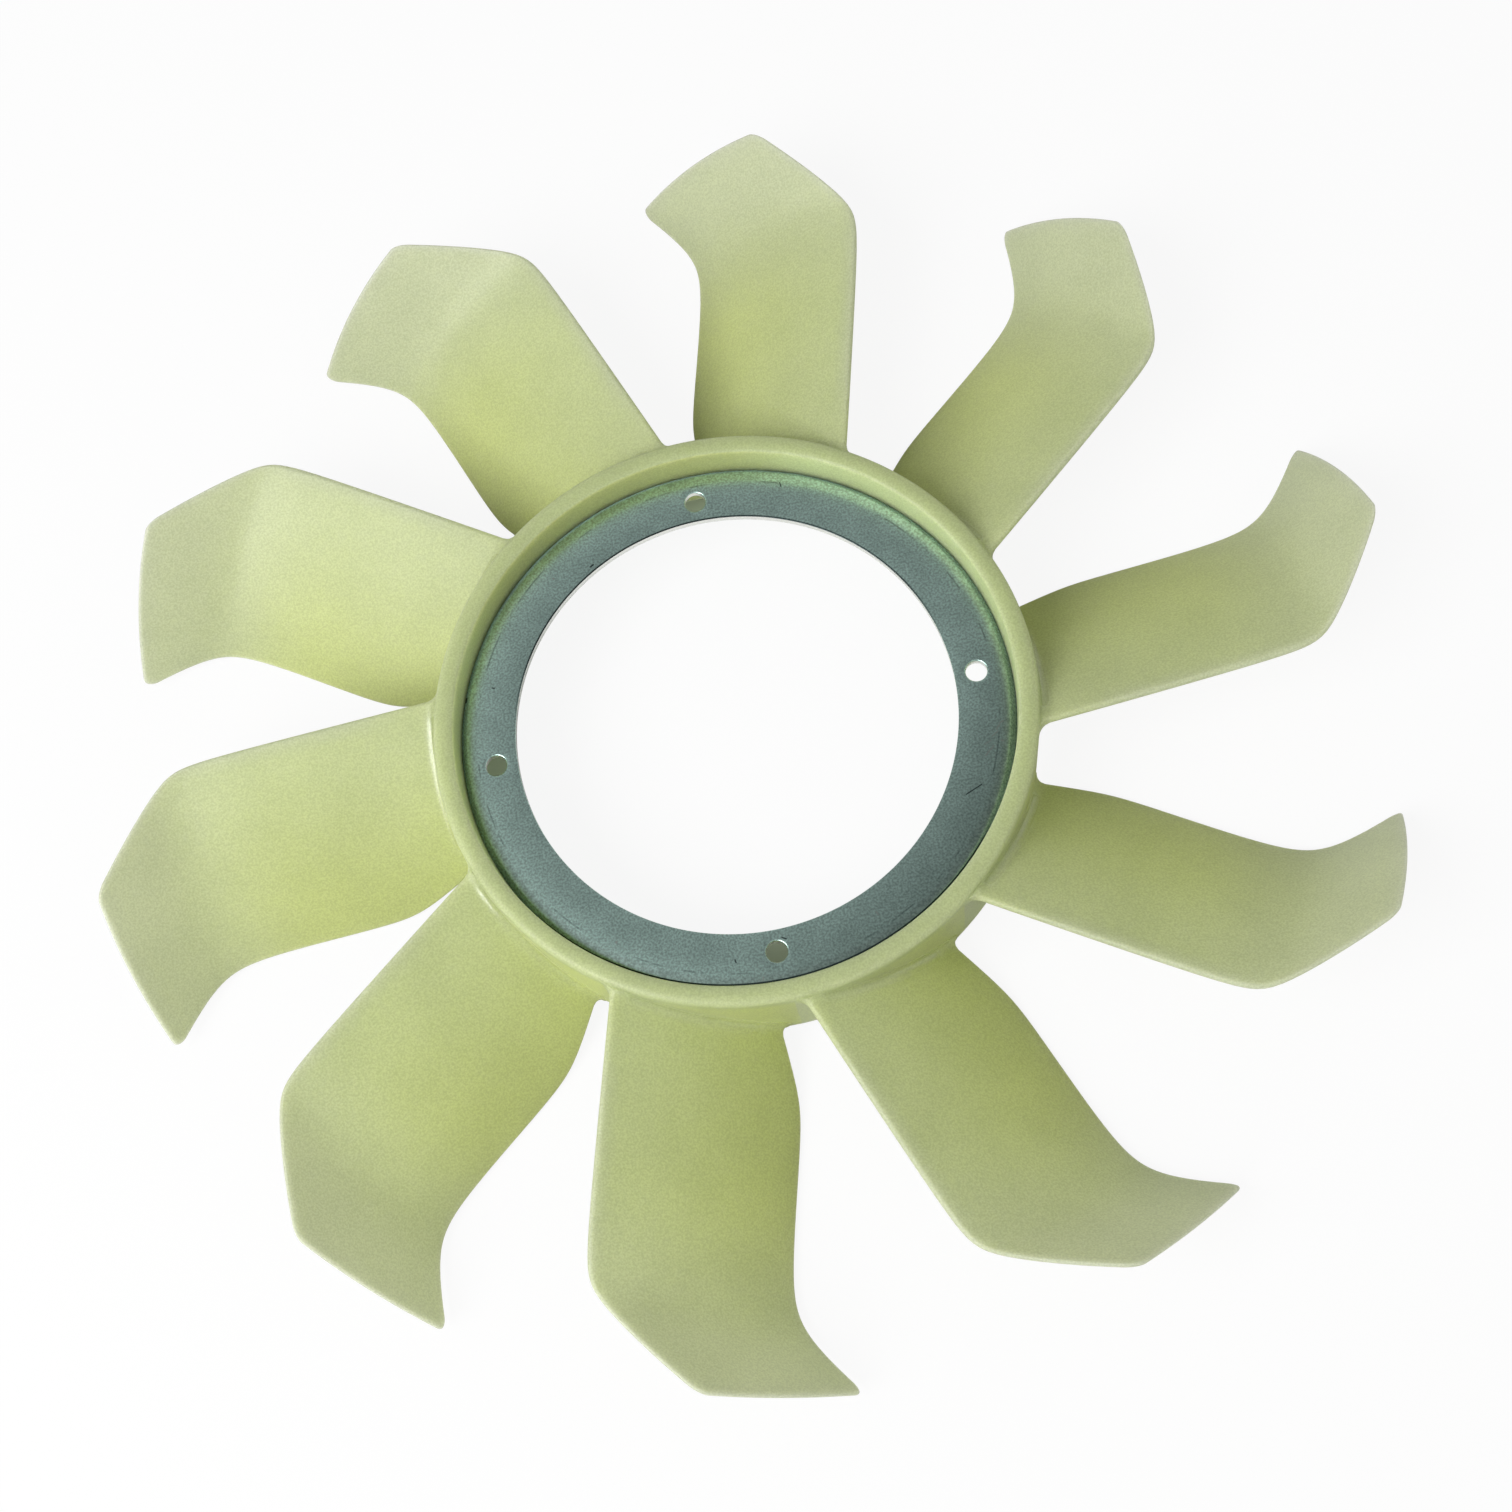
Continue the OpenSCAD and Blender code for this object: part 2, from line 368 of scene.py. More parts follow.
def hub_profile():
    """Closed outline of the hub wall: inner wall, rim, outer wall, rounded back edge, skirt, and the
    groove round the steel ring, with a hairline gap at the foot of the inner wall."""
    foot = FOOT_GAP - STEP_DEPTH
    groove_floor = -STEP_DEPTH - RING_T
    rim = rim_profile()
    inner = np.linspace((CUP_R, foot), rim[0], INNER_STEPS)
    outer = np.linspace(rim[-1], (HUB_BACK_R, BACK_EDGE_ROUND - HUB_DEPTH), OUTER_STEPS)
    back_outer = (HUB_BACK_R - BACK_EDGE_ROUND, BACK_EDGE_ROUND - HUB_DEPTH)
    back_inner = (SKIRT_BACK_R + BACK_EDGE_ROUND, BACK_EDGE_ROUND - HUB_DEPTH)
    skirt_back = (SKIRT_BACK_R, BACK_EDGE_ROUND - HUB_DEPTH)
    skirt = np.linspace(skirt_back, (SKIRT_R, groove_floor), SKIRT_STEPS)
    return np.concatenate(
        [
            inner[:-1],
            rim,
            outer[1:-1],
            arc(back_outer, BACK_EDGE_ROUND, 0, -90),
            arc(back_inner, BACK_EDGE_ROUND, -90, -180)[:-1],
            skirt,
            [
                (RING_R, groove_floor),
                (RING_R, -STEP_DEPTH),
                (CUP_R + FOOT_GAP_DEPTH, -STEP_DEPTH),
                (CUP_R + FOOT_GAP_DEPTH, foot),
            ],
        ]
    )


def make_moulding():
    """Hub wall and blades, joined into one closed mesh."""
    hub = grid_mesh("hub", revolve(hub_profile(), HUB_STEPS), closed_rows=True, closed_columns=True)
    made = piece("fan_moulding_finish", outward(hub))
    skin = blade_points()
    turns = [BLADE_PHASE + k * 2 * math.pi / BLADE_COUNT for k in range(BLADE_COUNT)]
    blades = [
        outward(grid_mesh("blade", turned(skin, turn), closed_columns=True, caps=True))
        for turn in turns
    ]
    combine(made, blades, "UNION")
    smooth(made, MOULDING_CRISP)
    return made


def make_ring():
    """Steel ring with rolled edges at the opening and at the bolt holes, stepped down into the hub.

    Past the crease the face falls away at the dish's angle, and then at the step's angle, with a
    round bend between them. The bend's centre lies under the point where both slopes meet: nearer
    to the axis by the bend's radius times the tangent of half the change of angle. The corners of
    the under face are shifted by the thickness times the tangent of half the step's angle.
    """
    r = OPENING_EDGE_ROUND
    dish, step = math.tan(DISH_ANGLE), math.tan(STEP_ANGLE)
    meet_r = (step * CUP_R - STEP_DEPTH - dish * CREASE_R) / (step - dish)
    meet_z = -dish * (meet_r - CREASE_R)
    back = BEND_R * math.tan((STEP_ANGLE - DISH_ANGLE) / 2)
    bend_centre = (
        meet_r - back * math.cos(DISH_ANGLE) - BEND_R * math.sin(DISH_ANGLE),
        meet_z + back * math.sin(DISH_ANGLE) - BEND_R * math.cos(DISH_ANGLE),
    )
    shift = RING_T * math.tan(STEP_ANGLE / 2)
    bend = (90 - math.degrees(DISH_ANGLE), 90 - math.degrees(STEP_ANGLE))
    profile = np.concatenate(
        [
            arc((OPENING_R + r, -r), r, 180, 90, OPENING_ARC_STEPS),
            [(CREASE_R, 0.0)],
            arc(bend_centre, BEND_R, *bend),
            [(CUP_R, -STEP_DEPTH), (RING_R, -STEP_DEPTH), (RING_R, -STEP_DEPTH - RING_T)],
            [(CUP_R - shift, -STEP_DEPTH - RING_T), (meet_r - shift, meet_z - RING_T)],
            [(CREASE_R - shift, -RING_T)],
            arc((OPENING_R + r, r - RING_T), r, 270, 180, OPENING_ARC_STEPS),
        ]
    )
    ring = grid_mesh("ring", revolve(profile, RING_STEPS), closed_rows=True, closed_columns=True)
    made = piece("mounting_ring_finish", outward(ring))
    e = HOLE_EDGE_ROUND
    wide = BOLT_HOLE_R + e
    bore = np.concatenate(
        [
            [(wide, CUTTER_PAST)],
            arc((wide, -e), e, 90, 180, HOLE_ARC_STEPS),
            arc((wide, e - RING_T), e, 180, 270, HOLE_ARC_STEPS),
            [(wide, -RING_T - CUTTER_PAST)],
        ]
    )
    cutters = []
    for k in range(BOLT_COUNT):
        turn = k * 2 * math.pi / BOLT_COUNT
        centre = (BOLT_CIRCLE_R * math.cos(turn), BOLT_CIRCLE_R * math.sin(turn))
        points = revolve(bore, HOLE_STEPS, centre)
        cutters.append(outward(grid_mesh("bore", points, closed_columns=True, caps=True)))
    combine(made, cutters, "DIFFERENCE")
    smooth(made, RING_CRISP)
    return made


# Part of the noise's range over which it has its effect, and how many layers of it there are
NOISE_SPAN = (0.3, 0.7)
GRAIN_DETAIL = 2.0
MOTTLE_DETAIL = 4.0


class Nodes:
    """Adds nodes to a tree and links them."""

    def __init__(self, tree):
        self.tree = tree

    def add(self, kind, **values):
        """A new node of the kind, with its settings."""
        node = self.tree.nodes.new(kind)
        for key, value in values.items():
            setattr(node, key, value)
        return node

    def give(self, socket, value):
        """Links a socket to another one, or writes a number or a colour into it."""
        if isinstance(value, bpy.types.NodeSocket):
            self.tree.links.new(value, socket)
        else:
            socket.default_value = value

    def maths(self, operation, *inputs):
        """Result of an arithmetic operation on numbers or sockets."""
        node = self.add("ShaderNodeMath", operation=operation)
        for socket, value in zip(node.inputs, inputs):
            self.give(socket, value)
        return node.outputs["Value"]

    def distance(self, where, x, y):
        """Distance in millimetres, seen from above, of a place from the point x, y."""
        sides = [self.maths("SUBTRACT", where[axis], at) for axis, at in (("X", x), ("Y", y))]
        squares = [self.maths("MULTIPLY", side, side) for side in sides]
        return self.maths("SQRT", self.maths("ADD", *squares))

    def vector(self, x, y):
        """A flat vector from two numbers."""
        node = self.add("ShaderNodeCombineXYZ")
        self.give(node.inputs["X"], x)
        self.give(node.inputs["Y"], y)
        return node.outputs["Vector"]

    def dot(self, first, second):
        """Scalar product of two vectors."""
        node = self.add("ShaderNodeVectorMath", operation="DOT_PRODUCT")
        self.give(node.inputs[0], first)
        self.give(node.inputs[1], second)
        return node.outputs["Value"]

    def blend(self, factor, first, second, mode="MIX"):
        """Colour that goes from the first to the second, or to their product, with the factor."""
        node = self.add("ShaderNodeMix", data_type="RGBA", blend_type=mode)
        sockets = (node.inputs[0], node.inputs[6], node.inputs[7])
        for socket, value in zip(sockets, (factor, first, second)):
            self.give(socket, value)
        return node.outputs[2]

    def noise(self, place, scale, detail):
        """Smooth noise from 0 to 1, finer with the scale."""
        node = self.add("ShaderNodeTexNoise")
        self.give(node.inputs["Vector"], place)
        self.give(node.inputs["Scale"], scale)
        self.give(node.inputs["Detail"], detail)
        return node.outputs["Fac"]

    def vary(self, colour, noise, depth):
        """Darkens and lightens a colour with the noise, by up to the depth either way."""
        shade = self.blend(self.span(noise, *NOISE_SPAN), grey(1 - depth), grey(1 + depth))
        return self.blend(1.0, colour, shade, "MULTIPLY")

    def span(self, value, low, high, to_low=0.0, to_high=1.0):
        """Smooth step from one value at the low end to another at the high end."""
        node = self.add("ShaderNodeMapRange", interpolation_type="SMOOTHSTEP")
        ends = (("From Min", low), ("From Max", high), ("To Min", to_low), ("To Max", to_high))
        for key, number in ends:
            self.give(node.inputs[key], number)
        self.give(node.inputs["Value"], value)
        return node.outputs["Result"]

    def use(self, group, **values):
        """A node of the group, with its inputs written or linked by name."""
        node = self.add("ShaderNodeGroup", node_tree=group)
        for key, value in values.items():
            self.give(node.inputs[key.replace("_", " ")], value)
        return node.outputs


def new_group(name, inputs, outputs):
    """A shader node group with the named numbers as inputs and outputs."""
    tree = bpy.data.node_groups.new(name, "ShaderNodeTree")
    for side, labels in (("INPUT", inputs), ("OUTPUT", outputs)):
        for label in labels:
            tree.interface.new_socket(name=label, in_out=side, socket_type="NodeSocketFloat")
    build = Nodes(tree)
    return tree, build, build.add("NodeGroupInput").outputs, build.add("NodeGroupOutput").inputs


def grain_group():
    """Surface grain: a fine speckle and a slow mottle, both around one half."""
    tree, build, given, result = new_group(
        "surface_grain", ("Grain Scale", "Mottle Scale"), ("Speckle", "Mottle")
    )
    place = build.add("ShaderNodeTexCoord").outputs["Object"]
    build.give(result["Speckle"], build.noise(place, given["Grain Scale"], GRAIN_DETAIL))
    build.give(result["Mottle"], build.noise(place, given["Mottle Scale"], MOTTLE_DETAIL))
    return tree


def place_group():
    """Where a point is, in millimetres: across, along, height, and distance from the fan's axis."""
    tree, build, _, result = new_group("place", (), ("X", "Y", "Z", "Radius"))
    split = build.add("ShaderNodeSeparateXYZ")
    build.give(split.inputs["Vector"], build.add("ShaderNodeTexCoord").outputs["Object"])
    where = {k: build.maths("MULTIPLY", split.outputs[k], 1 / MM) for k in ("X", "Y", "Z")}
    where["Radius"] = build.distance(where, 0.0, 0.0)
    for label, value in where.items():
        build.give(result[label], value)
    return tree


def broken_line(build, line, radius):
    """Offset of a blade's edge at a radius: straight between the corners of the line."""
    slopes = [(b[OFFSET] - a[OFFSET]) / (b[0] - a[0]) for a, b in zip(line, line[1:])]
    start = line[0][OFFSET] - slopes[0] * line[0][0]
    value = build.maths("MULTIPLY_ADD", radius, slopes[0], start)
    for corner, before, after in zip(line[1:], slopes, slopes[1:]):
        past = build.maths("MAXIMUM", build.maths("SUBTRACT", radius, corner[0]), 0.0)
        value = build.maths("MULTIPLY_ADD", past, after - before, value)
    return value


def blade_group(place):
    """How far a point lies inside its blade's outline, how far it lies from the front edge or the
    tip, both in millimetres, and its share of the way from the front edge to the rear edge.

    The point's azimuth is counted from the middle of its own blade, and its offset is the radius
    times the sine of that.
    """
    tree, build, _, result = new_group("blade_place", (), ("Inside", "Fringe", "Share"))
    where = build.use(place)
    radius = where["Radius"]
    azimuth = build.maths("ARCTAN2", where["Y"], where["X"])
    from_start = build.maths("ADD", azimuth, BLADE_START - BLADE_PHASE)
    turn = build.maths("FLOORED_MODULO", from_start, 2 * math.pi / BLADE_COUNT)
    offset = build.maths(
        "MULTIPLY", radius, build.maths("SINE", build.maths("SUBTRACT", turn, BLADE_START))
    )
    past_front = build.maths("SUBTRACT", offset, broken_line(build, FRONT_EDGE, radius))
    before_rear = build.maths("SUBTRACT", broken_line(build, REAR_EDGE, radius), offset)
    before_tip = build.maths("SUBTRACT", TIP_R, radius)
    fringe = build.maths("MINIMUM", past_front, before_tip)
    build.give(result["Fringe"], fringe)
    build.give(result["Inside"], build.maths("MINIMUM", fringe, before_rear))
    chord = build.maths("ADD", past_front, before_rear)
    build.give(result["Share"], build.maths("DIVIDE", past_front, chord))
    return tree


def stroke_group(place):
    """A short straight mark seen from above: one on the stroke, zero away from it.

    The point's place along and across the stroke is its offset from the centre, turned back by
    the stroke's angle. The mark ends where the larger of both passes half the length or width.
    """
    inputs = ("Centre X", "Centre Y", "Angle", "Length", "Width")
    tree, build, given, result = new_group("stroke", inputs, ("Mask",))
    where = build.use(place)
    x = build.maths("SUBTRACT", where["X"], given["Centre X"])
    y = build.maths("SUBTRACT", where["Y"], given["Centre Y"])
    cosine = build.maths("COSINE", given["Angle"])
    sine = build.maths("SINE", given["Angle"])
    along_it = build.maths("ADD", build.maths("MULTIPLY", x, cosine), build.maths("MULTIPLY", y, sine))
    across_it = build.maths(
        "SUBTRACT", build.maths("MULTIPLY", y, cosine), build.maths("MULTIPLY", x, sine)
    )
    past = [
        build.maths("SUBTRACT", build.maths("ABSOLUTE", offset), build.maths("MULTIPLY", size, 0.5))
        for offset, size in ((along_it, given["Length"]), (across_it, given["Width"]))
    ]
    edge = build.maths("MAXIMUM", *past)
    build.give(result["Mask"], build.span(edge, -STROKE_SOFTNESS, STROKE_SOFTNESS, 1.0, 0.0))
    return tree


def new_material(name):
    """A material with one Principled shader, and the helper that builds its tree."""
    material = bpy.data.materials.new(name)
    material.use_nodes = True
    return material, Nodes(material.node_tree), material.node_tree.nodes["Principled BSDF"].inputs


def grey(level):
    """A colour without a hue."""
    return (level, level, level, 1.0)


def bump(build, shader, height, strength, distance):
    """Raises the surface by the height, for the light only."""
    node = build.add("ShaderNodeBump")
    build.give(node.inputs["Strength"], strength)
    build.give(node.inputs["Distance"], distance)
    build.give(node.inputs["Height"], height)
    build.give(shader["Normal"], node.outputs["Normal"])


def add_marks(build, stroke, colour, marks, shade):
    """Blends the shade into the colour on each mark, given by azimuth, radius, turn out of the
    radial direction, length and width."""
    for azimuth, radius, turn, length, width in marks:
        a = math.radians(azimuth)
        mask = build.use(
            stroke,
            Centre_X=radius * math.cos(a),
            Centre_Y=radius * math.sin(a),
            Angle=a + math.radians(turn),
            Length=length,
            Width=width,
        )["Mask"]
        colour = build.blend(mask, colour, shade)
    return colour


# Natural nylon: colours of the hub's inner wall and rim, of a blade's front and rear edge and tip,
# and of the fringe along its front edge and tip. Past the front edge's colour these carry painted
# light and shade: a lighter inner wall for light in the cup's shade, a darker rim, a lighter and
# yellower rear edge against the next blade's shadow, a paler and greyer tip as painted sheen, and a
# darker, greyer fringe as painted shade
NYLON_WALL = (0.50, 0.56, 0.28, 1.0)
NYLON_RIM = (0.41, 0.46, 0.24, 1.0)
NYLON_FRONT = (0.46, 0.51, 0.27, 1.0)
NYLON_REAR = (0.495, 0.55, 0.22, 1.0)
NYLON_TIP = (0.46, 0.50, 0.32, 1.0)
NYLON_EDGE = (0.43, 0.46, 0.33, 1.0)
NYLON_EDGE_SHARE = 0.6
NYLON_EDGE_W = 7.0

# Radii and heights over which one of these colours passes into the next
WALL_SPAN = (CUP_MOUTH_R, CUP_MOUTH_R + 0.5)
RIM_SPAN = (HUB_R - 0.5, HUB_R + 2.0)
RIM_HEIGHT_SPAN = (RIM_HEIGHT - 6.0, RIM_HEIGHT - 2.0)
TIP_SPAN = (140.0, 195.0)
EDGE_SPAN = (HUB_R + 4.0, HUB_R + 30.0)

# Painted shade on a stretch of the inner wall, tinted yellow by the light that comes through the
# nylon: its colour, the direction of its middle, and how far along that direction it begins
NYLON_WALL_LIT_THROUGH = (0.43, 0.46, 0.19, 1.0)
WALL_LIT_THROUGH_SIDE = (math.cos(math.radians(110)), math.sin(math.radians(110)), 0.0)
WALL_LIT_THROUGH_SPAN = (58.0, 80.0)

# Gloss of the nylon, and of the smoother fillets at the roots of the blades
NYLON_ROUGHNESS = 0.42
NYLON_GLOSS = 0.35
FILLET_ROUGHNESS = 0.14
FILLET_GLOSS = 0.9
FILLET_START_SPAN = (HUB_R + 0.1, HUB_R + 0.4)
FILLET_END_SPAN = (HUB_R + 1.5, HUB_R + ROOT_FILLET + 1.0)
FILLET_INSIDE_SPAN = (3.0, 8.0)

# Grain of the nylon: scales, how far each changes the colour, and the bump's strength and depth
NYLON_SCALES = {"Grain_Scale": 1700.0, "Mottle_Scale": 45.0}
NYLON_SPECKLE = 0.1
NYLON_MOTTLE = 0.03
NYLON_BUMP = (0.2, 0.0002)

# How far light travels inside the hub and the blades, and the shares of that for red, green and
# blue
HUB_DEPTH_OF_LIGHT = 16.0
BLADE_DEPTH_OF_LIGHT = 9.0
DEPTH_OF_LIGHT_SPAN = (HUB_R - 0.5, HUB_R + 4.0)
NYLON_DEPTHS = (1.0, 1.0, 0.85)


def moulded_plastic(grain, place, blade):
    """Natural nylon that light shines into: yellow-green, with painted light and shade in its
    colours. It is greyer at the tips and along the front edges of the blades, lighter and yellower
    towards their rear edges, lighter on the inner wall and darker on the rim, and yellower where
    light comes through a stretch of the inner wall. It has glossy fillets and a fine stipple."""
    material, build, shader = new_material("moulded_plastic")
    surface = build.use(grain, **NYLON_SCALES)
    where = build.use(place)
    radius = where["Radius"]
    on_blade = build.use(blade)
    # Painted light: lighter and yellower towards the rear edge, and paler and greyer towards the tip
    colour = build.blend(build.span(on_blade["Share"], 0.0, 1.0), NYLON_FRONT, NYLON_REAR)
    colour = build.blend(build.span(radius, *TIP_SPAN), colour, NYLON_TIP)
    # Painted shade: a darker, greyer fringe along the front edge and the tip
    fringe_shade = build.span(on_blade["Fringe"], 0.0, NYLON_EDGE_W, NYLON_EDGE_SHARE, 0.0)
    fringe_shade = build.maths("MULTIPLY", fringe_shade, build.span(radius, *EDGE_SPAN))
    colour = build.blend(fringe_shade, colour, NYLON_EDGE)
    # Painted shade: the rim's top is a darker copy of the nylon
    within_rim = build.span(radius, *RIM_SPAN, 1.0, 0.0)
    on_top = build.span(where["Z"], *RIM_HEIGHT_SPAN)
    colour = build.blend(build.maths("MULTIPLY", within_rim, on_top), colour, NYLON_RIM)
    # Painted shade and the yellow light through the nylon on a stretch of the inner wall
    towards = build.dot(build.vector(where["X"], where["Y"]), WALL_LIT_THROUGH_SIDE)
    wall = build.blend(build.span(towards, *WALL_LIT_THROUGH_SPAN), NYLON_WALL, NYLON_WALL_LIT_THROUGH)
    # The inner wall is a lighter copy of the nylon, painted light in the cup's shade
    colour = build.blend(build.span(radius, *WALL_SPAN), wall, colour)
    colour = build.vary(colour, surface["Mottle"], NYLON_MOTTLE)
    colour = build.vary(colour, surface["Speckle"], NYLON_SPECKLE)
    build.give(shader["Base Color"], colour)
    fillet = build.span(radius, *FILLET_END_SPAN, 1.0, 0.0)
    fillet = build.maths("MULTIPLY", fillet, build.span(radius, *FILLET_START_SPAN))
    inside = build.span(on_blade["Inside"], *FILLET_INSIDE_SPAN)
    fillet = build.maths("MULTIPLY", fillet, inside)
    for socket, plain, glossy in (
        ("Roughness", NYLON_ROUGHNESS, FILLET_ROUGHNESS),
        ("Specular IOR Level", NYLON_GLOSS, FILLET_GLOSS),
    ):
        build.give(shader[socket], build.maths("MULTIPLY_ADD", fillet, glossy - plain, plain))
    build.give(shader["Subsurface Weight"], 1.0)
    build.give(shader["Subsurface Radius"], NYLON_DEPTHS)
    ends = (HUB_DEPTH_OF_LIGHT * MM, BLADE_DEPTH_OF_LIGHT * MM)
    build.give(shader["Subsurface Scale"], build.span(radius, *DEPTH_OF_LIGHT_SPAN, *ends))
    bump(build, shader, surface["Speckle"], *NYLON_BUMP)
    return material


# Zinc-plated steel, and painted shade that darkens it towards one side: how much, from where, towards
# which side
ZINC = (0.47, 0.655, 0.60, 1.0)
ZINC_ROUGHNESS = 0.3
SIDE_SHADE_SHARE = 0.23
SIDE_SHADE_SPAN = (45.0, 80.0)
SHADED_SIDE = (math.sqrt(0.5), -math.sqrt(0.5), 0.0)

# Grain of the steel: scales, how far each changes the colour, and the bump's strength and depth
ZINC_SCALES = {"Grain_Scale": 1500.0, "Mottle_Scale": 120.0}
ZINC_SPECKLE = 0.25
ZINC_MOTTLE = 0.06
ZINC_BUMP = (0.1, 0.0001)

# Colours of the dish and the step on the near and the far side, a painted reflection of the hub's
# inner wall, darker on the near side where that wall is shaded and paler on the far side where it is
# lit; where one passes into the other, how far past the crease they set in, and the rougher step
# with the radii where it sets in
DISH_SHADED_NEAR = (0.40, 0.54, 0.50, 1.0)
DISH_LIT_FAR = (0.49, 0.655, 0.66, 1.0)
DISH_SPAN = (-20.0, 40.0)
DISH_FADE = 2.0
STEP_ROUGHNESS = 0.75
STEP_ROUGH_SPAN = (83.4, 84.2)

# Painted shade in the joint on the near side, under the rim's inner edge: the centre of the circle
# that it starts from, the radii over which it starts, and where it ends
JOINT_SHADE_X = -0.4
JOINT_SHADE_Y = 3.7
JOINT_SHADE_R_SPAN = (86.85, 87.0)
JOINT_SHADE_END_SPAN = (-56.0, -44.0)

# Wear of the crease: how far it reaches from it, in which part of the mottle, and how strongly
WORN_SPAN = (0.1, 0.4)
WORN_MOTTLE_SPAN = (0.5, 0.6)
WORN_SHARE = 0.45

# Painted dark reflection along the rounded edge round the far side of the opening: its radii, and where
# along Y it sets in
OPENING_SHADE_R_SPAN = (OPENING_R + 0.35, OPENING_R + 0.6)
OPENING_SHADE_SIDE_SPAN = (5.0, 35.0)

# Bare punched walls, which face up or down by less than this share
BARE_STEEL = (0.97, 0.97, 0.94, 1.0)
UPRIGHT_SPAN = (0.2, 0.4)

# Dark colour of the scratches and the worn crease, and of the painted shade in the near joint and round
# the far side of the opening
DARK_SCRATCH_AND_SHADE = (0.05, 0.07, 0.07, 1.0)
PALE_SCRATCH = (0.42, 0.48, 0.44, 1.0)
STROKE_SOFTNESS = 0.15

# Marks on the ring's face: azimuth, radius, turn out of the radial direction, length and width
DARK_MARKS = (
    (69.8, 80.0, 25.0, 1.7, 0.35),
    (120.6, 70.1, 90.0, 1.4, 0.5),
    (160.5, 76.9, 0.0, 1.0, 0.4),
    (163.4, 85.4, 90.0, 1.8, 0.7),
    (260.6, 76.5, 20.0, 1.2, 0.4),
    (272.3, 71.4, 60.0, 1.6, 0.4),
    (330.9, 76.3, 52.0, 5.8, 0.35),
)
PALE_MARKS = (
    (129.6, 76.0, 0.0, 0.8, 0.5),
    (233.5, 78.3, 10.0, 0.9, 0.5),
    (266.3, 82.4, 0.0, 1.3, 0.35),
    (294.3, 75.8, 0.0, 1.2, 0.35),
    (340.6, 78.2, 60.0, 4.2, 0.35),
    (343.2, 81.5, 0.0, 1.0, 0.4),
    (344.6, 79.2, 48.0, 2.6, 0.3),
    (346.2, 80.0, 62.0, 2.2, 0.35),
    (342.5, 77.4, 40.0, 2.4, 0.25),
    (347.4, 81.0, 35.0, 1.6, 0.4),
)


def zinc_plate(grain, place, stroke):
    """Zinc-plated sheet: grey-green metal with a fine speckle, with painted shade that darkens it
    towards one side and a painted reflection of the hub's wall on the dish and the step, darker on
    the near side and paler on the far side. It has a worn crease where the dish starts, a rough
    step, painted shade in the near joint, a few scratches, a painted dark reflection round the far
    side of the opening, and bare walls where the opening and the holes are punched."""
    material, build, shader = new_material("zinc_plate")
    surface = build.use(grain, **ZINC_SCALES)
    where = build.use(place)
    radius = where["Radius"]
    # Painted reflection of the hub's inner wall on the dish and the step: darker near, paler far
    dish = build.blend(build.span(where["Y"], *DISH_SPAN), DISH_SHADED_NEAR, DISH_LIT_FAR)
    colour = build.blend(build.span(radius, CREASE_R, CREASE_R + DISH_FADE), ZINC, dish)
    colour = build.vary(colour, surface["Speckle"], ZINC_SPECKLE)
    # Painted shade, darkening the steel towards one side
    towards = build.dot(build.vector(where["X"], where["Y"]), SHADED_SIDE)
    colour = build.blend(build.span(towards, *SIDE_SHADE_SPAN, 0.0, SIDE_SHADE_SHARE), colour, grey(0.0))
    colour = build.vary(colour, surface["Mottle"], ZINC_MOTTLE)
    off_crease = build.maths("ABSOLUTE", build.maths("SUBTRACT", radius, CREASE_R))
    worn = build.span(off_crease, *WORN_SPAN, WORN_SHARE, 0.0)
    in_mottle = build.span(surface["Mottle"], *WORN_MOTTLE_SPAN)
    colour = build.blend(build.maths("MULTIPLY", worn, in_mottle), colour, DARK_SCRATCH_AND_SHADE)
    colour = add_marks(build, stroke, colour, DARK_MARKS, DARK_SCRATCH_AND_SHADE)
    colour = add_marks(build, stroke, colour, PALE_MARKS, PALE_SCRATCH)
    # Painted dark reflection along the rounded edge round the far side of the opening
    opening_shade = build.span(radius, *OPENING_SHADE_R_SPAN, 1.0, 0.0)
    far_side = build.span(where["Y"], *OPENING_SHADE_SIDE_SPAN)
    colour = build.blend(build.maths("MULTIPLY", opening_shade, far_side), colour, DARK_SCRATCH_AND_SHADE)
    # Painted shade in the joint on the near side
    joint_shade = build.span(build.distance(where, JOINT_SHADE_X, JOINT_SHADE_Y), *JOINT_SHADE_R_SPAN)
    near_side = build.span(where["Y"], *JOINT_SHADE_END_SPAN, 1.0, 0.0)
    colour = build.blend(build.maths("MULTIPLY", joint_shade, near_side), colour, DARK_SCRATCH_AND_SHADE)
    facing = build.add("ShaderNodeSeparateXYZ")
    build.give(facing.inputs["Vector"], build.add("ShaderNodeNewGeometry").outputs["Normal"])
    level = build.maths("ABSOLUTE", facing.outputs["Z"])
    colour = build.blend(build.span(level, *UPRIGHT_SPAN, 1.0, 0.0), colour, BARE_STEEL)
    build.give(shader["Base Color"], colour)
    build.give(shader["Metallic"], 1.0)
    roughness = build.span(radius, *STEP_ROUGH_SPAN, ZINC_ROUGHNESS, STEP_ROUGHNESS)
    build.give(shader["Roughness"], roughness)
    bump(build, shader, surface["Speckle"], *ZINC_BUMP)
    return material


# Camera: where it stands, how it is turned, and how far the frame's middle is from its axis
CAMERA_PLACE = (26.4, -255.3, 658.6)
CAMERA_AXES = (
    (0.97845, -0.15486, -0.13658),
    (0.19232, 0.92425, 0.32980),
    (0.07516, -0.34896, 0.93412),
)
PHOTO_SIDE = 1512
FOCAL_LENGTH_PIXELS = 2304.3
AXIS_PIXEL = (654.1, 763.2)
SENSOR = 36.0

# Nearest and farthest distance that the camera sees, in metres
CLIP_START = 0.01
CLIP_END = 20.0


